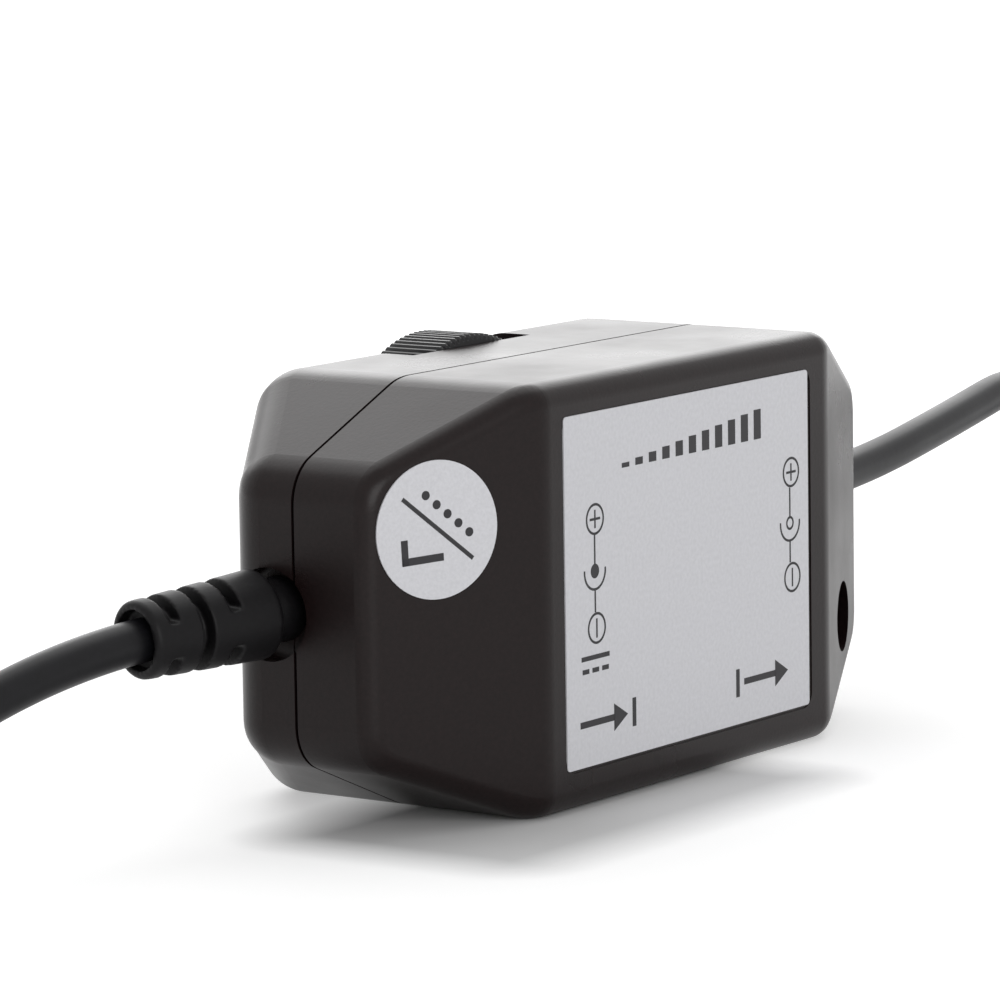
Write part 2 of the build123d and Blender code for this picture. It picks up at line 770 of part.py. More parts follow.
def strain_relief(side, way, cord):
    """Soft boot: a flange and neck in the end wall, and a slotted taper that has leaned over."""
    pivot = Vector(side * half_length, gland_axis, gland_up)
    inside = Plane(origin=(side * (pad_inside - flange_thickness), gland_axis, gland_up),
                   x_dir=(0, -1, 0), z_dir=(side, 0, 0))
    outside = Plane(origin=pivot, x_dir=(0, -1, 0), z_dir=way)
    boot_end = neck_outside + boot_length
    with BuildPart() as boot:
        with BuildSketch(outside.offset(neck_outside)):
            Circle(boot_base_radius)
        with BuildSketch(outside.offset(boot_end)):
            Circle(boot_tip_radius)
        loft()
        rims = boot.edges().filter_by(GeomType.CIRCLE).sort_by_distance(pivot)
        fillet(rims[0], boot_base_round)
        rims = boot.edges().filter_by(GeomType.CIRCLE).sort_by_distance(pivot)
        fillet(rims[-1], boot_tip_round)
        with BuildSketch(inside):
            RectangleRounded(2 * flange_half_deep, 2 * flange_half_high, flange_corner_round)
        extrude(amount=flange_thickness)
        with BuildSketch(inside):
            Circle(neck_radius)
        extrude(amount=half_length - pad_inside + flange_thickness)
        with BuildSketch(outside):
            Circle(neck_radius)
        extrude(amount=boot_end / 2)
        add(Pos(*pivot) * Sphere(neck_radius, mode=Mode.PRIVATE))
        # slots let the boot flex, each ring held by one bridge, front and back in turn
        for number in range(slot_count):
            slot_place = neck_outside + slot_first + number * slot_pitch - slot_width / 2
            bridge_side = 1 if number % 2 == 0 else -1
            with BuildSketch(outside.offset(slot_place)):
                Circle(boot_base_radius + beyond)
                Circle(slot_floor_radius, mode=Mode.SUBTRACT)
                with Locations((bridge_side * (boot_base_radius + beyond) / 2, 0)):
                    Rectangle(boot_base_radius + beyond, bridge_width, mode=Mode.SUBTRACT)
            extrude(amount=slot_width, mode=Mode.SUBTRACT)
        with BuildSketch(outside.offset(boot_end)):
            Circle(boot_mouth_radius)
        extrude(amount=-boot_mouth_depth, mode=Mode.SUBTRACT)
        add(cord, mode=Mode.SUBTRACT)
    return boot.part


# Boots moulded round the cords, caught in the end walls
with BuildPart() as input_strain_relief:
    add(strain_relief(-1, input_way, input_cord.part))
input_strain_relief.part.label = "input_strain_relief"
export_step(input_strain_relief.part, "parts/input_strain_relief.step")

with BuildPart() as output_strain_relief:
    add(strain_relief(1, output_way, output_cord.part))
output_strain_relief.part.label = "output_strain_relief"
export_step(output_strain_relief.part, "parts/output_strain_relief.step")


def lead_wire(side, level):
    """Single insulated lead from the cord's inner end to its pad on the board's back."""
    start_along = side * (half_length - jacket_inside)
    with BuildPart() as wire:
        with BuildLine() as path:
            FilletPolyline(
                (start_along, gland_axis, gland_up + level * lead_apart),
                (side * lead_pad_along, gland_axis, gland_up + level * lead_apart),
                (side * lead_pad_along, board_back, gland_up + level * lead_apart),
                radius=lead_bend_radius,
            )
        with BuildSketch(Plane(origin=path.line @ 0, z_dir=path.line % 0)):
            Circle(lead_radius)
        sweep(path=path.line)
    return wire.part


# Leads: red above black at both ends
for end_name, side in (("input", -1), ("output", 1)):
    for colour, level in (("red", 1), ("black", -1)):
        with BuildPart() as lead:
            add(lead_wire(side, level))
        lead.part.label = f"{end_name}_lead_{colour}"
        export_step(lead.part, f"parts/{end_name}_lead_{colour}.step")


def end_plane(route):
    """Plane at a cord's free end, its normal along the last run."""
    last, before = Vector(*route[-1]), Vector(*route[-2])
    return Plane(origin=last, x_dir=(0, 0, 1), z_dir=(last - before).normalized())


def end_moulding(base, length):
    """Moulded grip on a cord's end: tapered neck, round barrel and grip grooves."""
    with BuildPart() as moulding:
        with BuildSketch(base):
            Circle(moulding_neck_radius)
        with BuildSketch(base.offset(moulding_neck_length)):
            Circle(end_moulding_radius)
        loft()
        with BuildSketch(base.offset(moulding_neck_length)):
            Circle(end_moulding_radius)
        extrude(amount=length - moulding_neck_length)
        rims = moulding.edges().filter_by(GeomType.CIRCLE)
        fillet(rims.sort_by_distance(base.origin)[-1], moulding_round)
        for number in range(grip_count):
            with BuildSketch(base.offset(grip_start + number * grip_pitch)):
                Circle(end_moulding_radius + beyond)
                Circle(end_moulding_radius - grip_depth, mode=Mode.SUBTRACT)
            extrude(amount=grip_width, mode=Mode.SUBTRACT)
    return moulding.part


# Input jack: moulding with a socket, a lining of spring metal and the centre pin
jack_base = end_plane(input_route)
jack_mouth = jack_base.offset(jack_length)
with BuildPart() as input_jack_moulding:
    add(end_moulding(jack_base, jack_length))
    with BuildSketch(jack_mouth):
        Circle(socket_radius + sleeve_thickness)
    extrude(amount=-socket_depth, mode=Mode.SUBTRACT)
    with BuildSketch(jack_mouth.offset(-socket_depth)):
        Circle(jack_pin_radius)
    extrude(amount=-jack_pin_root, mode=Mode.SUBTRACT)
input_jack_moulding.part.label = "input_jack_moulding"
export_step(input_jack_moulding.part, "parts/input_jack_moulding.step")

with BuildPart() as input_jack_sleeve:
    with BuildSketch(jack_mouth.offset(-socket_depth)):
        Circle(socket_radius + sleeve_thickness)
        Circle(socket_radius, mode=Mode.SUBTRACT)
    extrude(amount=socket_depth - sleeve_thickness)
input_jack_sleeve.part.label = "input_jack_sleeve"
export_step(input_jack_sleeve.part, "parts/input_jack_sleeve.step")

with BuildPart() as input_jack_pin:
    with BuildSketch(jack_mouth.offset(-socket_depth - jack_pin_root)):
        Circle(jack_pin_radius)
    extrude(amount=socket_depth + jack_pin_root - jack_pin_short)
    pin_rims = input_jack_pin.edges().filter_by(GeomType.CIRCLE)
    fillet(pin_rims.sort_by_distance(jack_mouth.origin)[0], jack_pin_tip_round)
input_jack_pin.part.label = "input_jack_pin"
export_step(input_jack_pin.part, "parts/input_jack_pin.step")

# Output plug: moulding, hollow metal barrel and the insulator in its mouth
plug_base = end_plane(output_route)
plug_face = plug_base.offset(plug_length)
plug_mouth = plug_base.offset(plug_length + barrel_length)
with BuildPart() as output_plug_moulding:
    add(end_moulding(plug_base, plug_length))
    with BuildSketch(plug_face):
        Circle(barrel_root_radius)
    extrude(amount=-barrel_root, mode=Mode.SUBTRACT)
output_plug_moulding.part.label = "output_plug_moulding"
export_step(output_plug_moulding.part, "parts/output_plug_moulding.step")

with BuildPart() as output_plug_barrel:
    with BuildSketch(plug_face.offset(-barrel_root)):
        Circle(barrel_root_radius)
        Circle(barrel_root_bore, mode=Mode.SUBTRACT)
    extrude(amount=barrel_root)
    with BuildSketch(plug_face):
        Circle(barrel_radius)
        Circle(barrel_root_bore, mode=Mode.SUBTRACT)
    extrude(amount=barrel_length)
    with BuildSketch(plug_face.offset(barrel_shoulder)):
        Circle(barrel_radius - barrel_wall)
    extrude(amount=barrel_length, mode=Mode.SUBTRACT)
output_plug_barrel.part.label = "output_plug_barrel"
export_step(output_plug_barrel.part, "parts/output_plug_barrel.step")

with BuildPart() as output_plug_insulator:
    with BuildSketch(plug_face.offset(-barrel_root)):
        Circle(barrel_root_bore)
    extrude(amount=barrel_root + barrel_shoulder)
    with BuildSketch(plug_face.offset(barrel_shoulder)):
        Circle(barrel_radius - barrel_wall)
    extrude(amount=barrel_length - barrel_shoulder - insulator_lip)
    with BuildSketch(plug_mouth):
        Circle(barrel_bore_radius)
    extrude(amount=-barrel_contact_depth, mode=Mode.SUBTRACT)
output_plug_insulator.part.label = "output_plug_insulator"
export_step(output_plug_insulator.part, "parts/output_plug_insulator.step")

print("parting plane", round(parting, 3), "total depth", round(total_depth, 3))
print("wheel axis", round(wheel_along, 3), round(wheel_up, 3))
print("plug face", [round(value, 4) for value in plug_face.origin],
      "along", [round(value, 5) for value in plug_face.z_dir])
print("jack mouth", [round(value, 4) for value in jack_mouth.origin],
      "along", [round(value, 5) for value in jack_mouth.z_dir])
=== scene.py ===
import bpy
from math import atan2, pi, radians
from mathutils import Matrix, Vector


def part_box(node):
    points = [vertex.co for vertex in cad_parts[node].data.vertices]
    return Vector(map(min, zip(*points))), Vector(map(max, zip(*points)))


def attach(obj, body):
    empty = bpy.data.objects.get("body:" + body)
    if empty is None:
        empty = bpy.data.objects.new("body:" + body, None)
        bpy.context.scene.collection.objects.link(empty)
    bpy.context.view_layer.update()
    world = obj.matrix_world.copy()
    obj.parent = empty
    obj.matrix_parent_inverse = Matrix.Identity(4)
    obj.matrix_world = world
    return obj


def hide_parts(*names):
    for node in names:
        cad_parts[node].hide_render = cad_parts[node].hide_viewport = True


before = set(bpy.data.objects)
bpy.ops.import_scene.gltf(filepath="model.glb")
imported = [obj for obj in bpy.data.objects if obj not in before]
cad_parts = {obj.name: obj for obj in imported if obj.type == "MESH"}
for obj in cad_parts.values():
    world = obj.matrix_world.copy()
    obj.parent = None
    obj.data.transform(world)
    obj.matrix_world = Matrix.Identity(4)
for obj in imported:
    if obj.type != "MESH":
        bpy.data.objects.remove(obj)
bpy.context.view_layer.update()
bpy.ops.object.select_all(action="DESELECT")


# Camera: a long lens close to table height, left of the label, as the photograph has it.
# Its place and turn are fitted to the corners and edges of the case, in the part's own frame.
camera_data = bpy.data.cameras.new("camera")
camera_data.lens = 211.716
camera_data.sensor_width = 36.0
camera_data.clip_start = 0.01
camera_data.clip_end = 100.0
camera = bpy.data.objects.new("camera", camera_data)
bpy.context.collection.objects.link(camera)
to_right = Vector((0.57326, -0.81924, -0.01463))
to_top = Vector((0.12324, 0.06856, 0.99001))
to_back = Vector((-0.81005, -0.56934, 0.14027))
camera_turn = Matrix((to_right, to_top, to_back)).transposed()
camera_place = Vector((-0.45768, -0.31552, 0.10430))
camera.matrix_world = Matrix.Translation(camera_place) @ camera_turn.to_4x4()
bpy.context.scene.camera = camera


# Input cord: two stranded cores in a round jacket, drooping from its boot to the table.
# The jacket is extruded black vinyl with a dull skin. The boot moulded round it holds it in the
# case, and a jack is moulded on its far end.
def moulded_black(name, colour, gloss, grain, depth, ior=1.45):
    """Black moulded or extruded compound: fine grain, uneven dullness and faint flow marks."""
    material = bpy.data.materials.new(name)
    material.use_nodes = True
    nodes, links = material.node_tree.nodes, material.node_tree.links
    shader = nodes["Principled BSDF"]
    shader.inputs["IOR"].default_value = ior
    place = nodes.new("ShaderNodeTexCoord")
    grain_noise = nodes.new("ShaderNodeTexNoise")
    grain_noise.inputs["Scale"].default_value = 1 / grain
    grain_noise.inputs["Detail"].default_value = 3.0
    grain_noise.inputs["Roughness"].default_value = 0.55
    links.new(place.outputs["Object"], grain_noise.inputs["Vector"])
    patch_noise = nodes.new("ShaderNodeTexNoise")
    patch_noise.inputs["Scale"].default_value = 70.0
    patch_noise.inputs["Detail"].default_value = 4.0
    links.new(place.outputs["Object"], patch_noise.inputs["Vector"])
    tone = nodes.new("ShaderNodeValToRGB")
    tone.color_ramp.elements[0].position = 0.2
    tone.color_ramp.elements[0].color = (*[channel * 0.72 for channel in colour], 1)
    tone.color_ramp.elements[1].position = 0.8
    tone.color_ramp.elements[1].color = (*[channel * 1.35 for channel in colour], 1)
    links.new(grain_noise.outputs["Fac"], tone.inputs["Fac"])
    links.new(tone.outputs["Color"], shader.inputs["Base Color"])
    dullness = nodes.new("ShaderNodeMapRange")
    dullness.inputs["From Min"].default_value = 0.3
    dullness.inputs["From Max"].default_value = 0.7
    dullness.inputs["To Min"].default_value = gloss - 0.05
    dullness.inputs["To Max"].default_value = gloss + 0.05
    links.new(patch_noise.outputs["Fac"], dullness.inputs["Value"])
    links.new(dullness.outputs["Result"], shader.inputs["Roughness"])
    relief = nodes.new("ShaderNodeBump")
    relief.inputs["Strength"].default_value = 1.0
    relief.inputs["Distance"].default_value = depth
    links.new(grain_noise.outputs["Fac"], relief.inputs["Height"])
    links.new(relief.outputs["Normal"], shader.inputs["Normal"])
    return material


jacket_vinyl = moulded_black("jacket_vinyl", (0.0045, 0.0043, 0.0055), gloss=0.4,
                             grain=0.0009, depth=0.000008, ior=1.31)
cord_radius = 0.002


def laid_cord(name, node, route):
    """A cord along its route, its line a smooth spline."""
    curve = bpy.data.curves.new(name, "CURVE")
    curve.dimensions = "3D"
    spline = curve.splines.new("NURBS")
    spline.points.add(len(route) - 1)
    for point, place in zip(spline.points, route):
        point.co = (*place, 1)
    spline.order_u = 3
    spline.use_endpoint_u = True
    spline.use_smooth = True
    curve.resolution_u = 24
    curve.bevel_depth = cord_radius
    curve.bevel_resolution = 8
    curve.use_fill_caps = True
    cord = bpy.data.objects.new(name, curve)
    bpy.context.collection.objects.link(cord)
    cord.data.materials.append(jacket_vinyl)
    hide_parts(node)
    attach(cord, "case")
    return cord


input_route = [
    (-0.02845, 0.00275, 0.0203),
    (-0.04145, 0.00275, 0.0203),
    (-0.062658, 0.008433, 0.018919),
    (-0.0810, 0.0130, 0.0124),
    (-0.1010, 0.0142, 0.0062),
    (-0.1210, 0.0124, 0.0050),
    (-0.1400, 0.0110, 0.0050),
]
input_jacket = laid_cord("input_cord_jacket", "input_cord", input_route)


# Output cord: the same extruded vinyl cord on the other side, with a plug moulded on its end.
# Its boot stiffens it, so it rises a little before it comes down to the table.
output_route = [
    (0.02845, 0.00275, 0.0203),
    (0.04145, 0.00275, 0.0203),
    (0.065291, 0.005508, 0.020426),
    (0.0880, 0.0084, 0.0227),
    (0.1110, 0.0120, 0.0251),
    (0.1315, 0.0126, 0.0160),
    (0.1495, 0.0116, 0.0050),
    (0.1630, 0.0108, 0.0050),
]
output_jacket = laid_cord("output_cord_jacket", "output_cord", output_route)


# Boots: soft black rubber-like vinyl, moulded on the cords with slots that let them flex, and
# each held by its neck in a hole of an end wall. The edges of such a moulding are soft, so each
# is remade as one skin with its edges melted round.
boot_vinyl = moulded_black("boot_vinyl", (0.004, 0.0036, 0.0042), gloss=0.48,
                           grain=0.0006, depth=0.00001, ior=1.26)
mouth_radius = 0.0027
mouth_floor_depth = 0.0005
mouth_reach = 0.01352         # from the bend of the boot to the floor of its mouth
skin_grid = 0.00016


def select_piece(piece):
    """Makes a piece the only selected and the active one."""
    bpy.ops.object.select_all(action="DESELECT")
    piece.select_set(True)
    bpy.context.view_layer.objects.active = piece


def soft_copy(name, node, route):
    """The CAD solid as one even skin, its edges rounded as a soft moulding's are."""
    bend, beyond = Vector(route[1]), Vector(route[2])
    way = (beyond - bend).normalized()
    # a thicker floor for the mouth, where the solid's web is too thin for the skin's grid
    bpy.ops.mesh.primitive_cylinder_add(vertices=64, radius=mouth_radius,
                                        depth=mouth_floor_depth,
                                        location=bend + way * mouth_reach,
                                        rotation=way.to_track_quat("Z", "Y").to_euler())
    mouth_floor = bpy.context.active_object
    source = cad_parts[node]
    piece = bpy.data.objects.new(name, source.data.copy())
    bpy.context.collection.objects.link(piece)
    piece.matrix_world = source.matrix_world.copy()
    piece.data.materials.clear()
    select_piece(piece)
    mouth_floor.select_set(True)
    bpy.ops.object.join()
    bpy.ops.object.mode_set(mode="EDIT")
    bpy.ops.mesh.select_all(action="SELECT")
    bpy.ops.mesh.remove_doubles(threshold=0.000001)
    bpy.ops.object.mode_set(mode="OBJECT")
    skin = piece.modifiers.new("skin", "REMESH")
    skin.mode = "VOXEL"
    skin.voxel_size = skin_grid
    melt = piece.modifiers.new("melt", "SMOOTH")
    melt.factor = 0.5
    melt.iterations = 6
    bpy.ops.object.modifier_apply(modifier="skin")
    bpy.ops.object.modifier_apply(modifier="melt")
    bpy.ops.object.shade_smooth()
    piece.select_set(False)
    return piece


for boot_name, boot_node, boot_route in (
    ("input_boot", "input_strain_relief", input_route),
    ("output_boot", "output_strain_relief", output_route),
):
    boot = soft_copy(boot_name, boot_node, boot_route)
    boot.data.materials.append(boot_vinyl)
    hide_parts(boot_node)
    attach(boot, "case")


# Shells: the two halves of the case, black injection moulding with a fine spark-eroded grain.
# A tongue and groove close them behind the seam, and two screws hold them. Both keep the CAD
# solids' shape, with their broad flats and rounds.
case_moulding = moulded_black("case_moulding", (0.0085, 0.0045, 0.0045), gloss=0.3,
                              grain=0.00042, depth=0.00001, ior=1.29)


def finish_node(node, material):
    """Puts a finish on a piece that keeps its CAD shape."""
    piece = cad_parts[node]
    piece.data.materials.clear()
    piece.data.materials.append(material)
    return piece


for shell in ("front_shell", "rear_shell"):
    finish_node(shell, case_moulding)


# Label: silver-grey polyester film stuck in the front shell's seat, with dark signs printed on it.
# The film is cut to a rectangle with small round corners, and the ink lies level with the case's
# foremost plane.
def printed_film(name, colour, gloss, fleck):
    """Matt printed film or paper with faint fibres and flecks."""
    material = bpy.data.materials.new(name)
    material.use_nodes = True
    nodes, links = material.node_tree.nodes, material.node_tree.links
    shader = nodes["Principled BSDF"]
    shader.inputs["Roughness"].default_value = gloss
    place = nodes.new("ShaderNodeTexCoord")
    fleck_noise = nodes.new("ShaderNodeTexNoise")
    fleck_noise.inputs["Scale"].default_value = 1 / fleck
    fleck_noise.inputs["Detail"].default_value = 2.0
    links.new(place.outputs["Object"], fleck_noise.inputs["Vector"])
    tone = nodes.new("ShaderNodeValToRGB")
    tone.color_ramp.elements[0].position = 0.3
    tone.color_ramp.elements[0].color = (*[channel * 0.95 for channel in colour], 1)
    tone.color_ramp.elements[1].position = 0.7
    tone.color_ramp.elements[1].color = (*[channel * 1.04 for channel in colour], 1)
    links.new(fleck_noise.outputs["Fac"], tone.inputs["Fac"])
    links.new(tone.outputs["Color"], shader.inputs["Base Color"])
    relief = nodes.new("ShaderNodeBump")
    relief.inputs["Strength"].default_value = 1.0
    relief.inputs["Distance"].default_value = 0.000003
    links.new(fleck_noise.outputs["Fac"], relief.inputs["Height"])
    links.new(relief.outputs["Normal"], shader.inputs["Normal"])
    return material


label_film = printed_film("label_film", (0.66, 0.66, 0.69), gloss=0.5, fleck=0.0004)
ink = printed_film("dark_ink", (0.012, 0.011, 0.014), gloss=0.6, fleck=0.0003)
label_length, label_height, label_corner = 0.04165, 0.03275, 0.0004
label_along, label_up = -0.0005, 0.0204
label_back, label_front, ink_front = -0.0158, -0.015985, -0.016
label_ink_depth = 0.00002
upright = (radians(90), 0, 0)


def place_in_mesh(piece):
    """Leaves the object at the origin, unturned, with its place in its mesh."""
    select_piece(piece)
    bpy.ops.object.transform_apply(location=True, rotation=True, scale=True)


def thicken(piece, way):
    """Gives a flat piece its thickness, by extruding all of it one way."""
    select_piece(piece)
    bpy.ops.object.mode_set(mode="EDIT")
    bpy.ops.mesh.select_all(action="SELECT")
    bpy.ops.mesh.extrude_region_move(TRANSFORM_OT_translate={"value": way})
    bpy.ops.mesh.select_all(action="SELECT")
    bpy.ops.mesh.normals_make_consistent(inside=False)
    bpy.ops.object.mode_set(mode="OBJECT")


bpy.ops.mesh.primitive_plane_add(size=1, location=(label_along, label_back, label_up),
                                 rotation=upright)
label_sheet = bpy.context.active_object
label_sheet.name = "printed_label"
label_sheet.scale = (label_length, label_height, 1)
place_in_mesh(label_sheet)
bpy.ops.object.mode_set(mode="EDIT")
bpy.ops.mesh.select_all(action="SELECT")
bpy.ops.mesh.bevel(offset=label_corner, segments=6, affect="VERTICES")
bpy.ops.object.mode_set(mode="OBJECT")
thicken(label_sheet, (0, label_front - label_back, 0))
label_sheet.data.materials.append(label_film)
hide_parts("front_label")
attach(label_sheet, "case")


def on_label(along, up):
    """A place on the label's face, from millimetres along and up."""
    return (along / 1000, ink_front, up / 1000)


def ink_disc(place, radius, hole=0, lean=upright, sides=40):
    """A printed disc, or a ring where it has a hole, sizes in millimetres."""
    bpy.ops.mesh.primitive_circle_add(vertices=sides, radius=radius / 1000, fill_type="NGON",
                                      location=place, rotation=lean)
    disc = bpy.context.active_object
    if hole > 0:
        bpy.ops.object.mode_set(mode="EDIT")
        bpy.ops.mesh.select_all(action="SELECT")
        bpy.ops.mesh.inset(thickness=(radius - hole) / 1000)
        bpy.ops.mesh.delete(type="FACE")
        bpy.ops.object.mode_set(mode="OBJECT")
    return disc


def ink_bar(place, width, height, lean=upright):
    """A printed bar, sizes in millimetres."""
    bpy.ops.mesh.primitive_plane_add(size=0.001, location=place, rotation=lean)
    bar = bpy.context.active_object
    bar.scale = (width, height, 1)
    return bar


def ink_cup(along, up, radius, width, rise):
    """The lower part of a ring, open upwards, cut a little over its middle."""
    cup = ink_disc(on_label(along, up), radius + width / 2, radius - width / 2, sides=56)
    place_in_mesh(cup)
    bpy.ops.object.mode_set(mode="EDIT")
    bpy.ops.mesh.select_all(action="SELECT")
    bpy.ops.mesh.bisect(plane_co=on_label(along, up + rise), plane_no=(0, 0, 1),
                        clear_outer=True)
    bpy.ops.object.mode_set(mode="OBJECT")
    return cup


def ink_arrowhead(along, up, width, length):
    """A solid triangle pointing along the case."""
    bpy.ops.mesh.primitive_circle_add(vertices=3, radius=0.001, fill_type="NGON",
                                      location=on_label(along, up),
                                      rotation=(radians(90), radians(90), 0))
    head = bpy.context.active_object
    # a triangle in a circle of radius 1 is 3 ** 0.5 wide and 1.5 long
    head.scale = (width / 3 ** 0.5, length / 1.5, 1)
    return head


def print_together(name, shapes, way):
    """Joins printed shapes into one piece and gives the ink its thickness."""
    bpy.ops.object.select_all(action="DESELECT")
    for shape in shapes:
        shape.select_set(True)
    bpy.context.view_layer.objects.active = shapes[0]
    bpy.ops.object.join()
    printed = bpy.context.active_object
    printed.name = name
    place_in_mesh(printed)
    thicken(printed, way)
    printed.data.materials.append(ink)
    return printed


line_width = 0.24
sign_radius, sign_bar, sign_stroke = 1.36, 1.7, 1.8
contact_radius, cup_radius, cup_rise, lead_in = 0.68, 1.7, 0.15, 0.66


def joining_line(along, low, high):
    """A thin printed line up the label, between two heights."""
    return ink_bar(on_label(along, (low + high) / 2), line_width, high - low)


label_shapes = []
# polarity signs: a plus in a ring, the round connector seen from its end, a minus in a ring
for plus, middle, minus, filled in (
    ((-16.44, 26.87), (-16.54, 22.06), (-16.33, 16.74), True),
    ((17.25, 27.16), (17.0, 22.23), (17.37, 16.91), False),
):
    for sign in (plus, minus):
        label_shapes.append(ink_disc(on_label(*sign), sign_radius + line_width / 2,
                                     sign_radius - line_width / 2))
    label_shapes.append(ink_bar(on_label(*plus), sign_bar, line_width))
    stroke = (sign_bar - line_width) / 2
    for side in (-1, 1):
        stroke_up = plus[1] + side * (stroke + line_width) / 2
        label_shapes.append(ink_bar(on_label(plus[0], stroke_up), line_width, stroke))
    label_shapes.append(ink_bar(on_label(*minus), line_width, sign_stroke))
    contact_hole = 0 if filled else contact_radius - line_width
    label_shapes.append(ink_disc(on_label(*middle), contact_radius, contact_hole))
    label_shapes.append(ink_cup(*middle, cup_radius, line_width, cup_rise))
    label_shapes.append(joining_line(middle[0], middle[1] + lead_in,
                                     plus[1] - sign_radius - line_width / 2))
    label_shapes.append(joining_line(middle[0], minus[1] + sign_radius + line_width / 2,
                                     middle[1] - cup_radius - line_width / 2))
# a row of bars that grow, for the light's level
for number in range(11):
    height = 0.45 + 0.24 * number
    label_shapes.append(ink_bar(on_label(-11.3 + 2.26 * number, 31.05 + height / 2), 1.25, height))
# direct-current sign over the input: a long bar over three short ones
label_shapes.append(ink_bar(on_label(-16.6, 14.1), 4.6, 0.45))
for number in range(3):
    label_shapes.append(ink_bar(on_label(-18.2 + 1.6 * number, 12.9), 1.1, 0.45))
# an arrow that ends at a bar on the input's side, and one that starts at a bar on the output's
arrows_up, shaft_width = 8.0, 0.62
for start, bar_along in ((-19.2, -10.3), (8.6, 7.5)):
    label_shapes.append(ink_bar(on_label(start + 2.8, arrows_up), 5.6, shaft_width))
    label_shapes.append(ink_arrowhead(start + 6.3, arrows_up, width=2.6, length=2.3))
    label_shapes.append(ink_bar(on_label(bar_along, arrows_up), shaft_width, 2.7))
label_print = print_together("label_print", label_shapes, (0, label_ink_depth, 0))
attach(label_print, "case")


# Seal: a white paper disc stuck over one screw well, on the front shell's sloped face, so that
# nobody opens the case unseen. It is printed with a bar, a tick and a row of dots, and its print
# is turned as the disc was stuck on.
seal_paper = printed_film("seal_paper", (0.68, 0.68, 0.71), gloss=0.5, fleck=0.0003)
finish_node("seal_sticker", seal_paper)
facet_normal = Vector((-7.55, -17.45, 0)).normalized()
facet_right = Vector((-facet_normal.y, facet_normal.x, 0))
facet_turn = atan2(facet_normal.x, -facet_normal.y)
seal_low, seal_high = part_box("seal_sticker")
seal_face_rise = 0.000095     # from the middle of the paper to the face of its ink
seal_middle = (seal_low + seal_high) / 2 + facet_normal * seal_face_rise
seal_ink_depth = 0.00003
print_turn = radians(-39.2)


def on_seal(right, up):
    """A place on the seal's face, from millimetres right and up in its turned print."""
    across = Matrix.Rotation(print_turn, 2) @ Vector((right, up))
    return tuple(seal_middle + facet_right * across.x / 1000 + Vector((0, 0, across.y / 1000)))


def seal_lean(degrees):
    """Lean of a flat shape on the seal, turned in its plane."""
    return (radians(90), -print_turn - radians(degrees), facet_turn)


tick_width = 0.7
seal_shapes = [ink_bar(on_seal(0, 0.1), 9.4, 0.4, seal_lean(0))]
# the tick: a short stroke down and a long one up, meeting in a corner
seal_shapes.append(ink_bar(on_seal(-1.47, -3.57), 2.3, tick_width, seal_lean(-48)))
seal_shapes.append(ink_bar(on_seal(0.47, -2.96), 4.3, tick_width, seal_lean(42)))
for number in range(5):
    seal_shapes.append(ink_disc(on_seal(-2.9 + 1.45 * number, 1.75), 0.42,
                                lean=seal_lean(0), sides=28))
seal_print = print_together("seal_print", seal_shapes, tuple(-facet_normal * seal_ink_depth))
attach(seal_print, "case")


# Case screws: two pan-head steel screws with a cross recess, cold-headed and plated.
# They lie deep in the front shell's wells, their heads on the floors, and cut their own thread in
# the rear shell's bosses.
def bare_metal(name, colour, gloss):
    """Plated or bare metal with fine drawn marks."""
    material = bpy.data.materials.new(name)
    material.use_nodes = True
    nodes, links = material.node_tree.nodes, material.node_tree.links
    shader = nodes["Principled BSDF"]
    shader.inputs["Metallic"].default_value = 1.0
    place = nodes.new("ShaderNodeTexCoord")
    marks = nodes.new("ShaderNodeTexNoise")
    marks.inputs["Scale"].default_value = 900.0
    marks.inputs["Detail"].default_value = 3.0
    links.new(place.outputs["Object"], marks.inputs["Vector"])
    tone = nodes.new("ShaderNodeValToRGB")
    tone.color_ramp.elements[0].color = (*[channel * 0.85 for channel in colour], 1)
    tone.color_ramp.elements[1].color = (*colour, 1)
    links.new(marks.outputs["Fac"], tone.inputs["Fac"])
    links.new(tone.outputs["Color"], shader.inputs["Base Color"])
    dullness = nodes.new("ShaderNodeMapRange")
    dullness.inputs["To Min"].default_value = gloss - 0.06
    dullness.inputs["To Max"].default_value = gloss + 0.1
    links.new(marks.outputs["Fac"], dullness.inputs["Value"])
    links.new(dullness.outputs["Result"], shader.inputs["Roughness"])
    return material


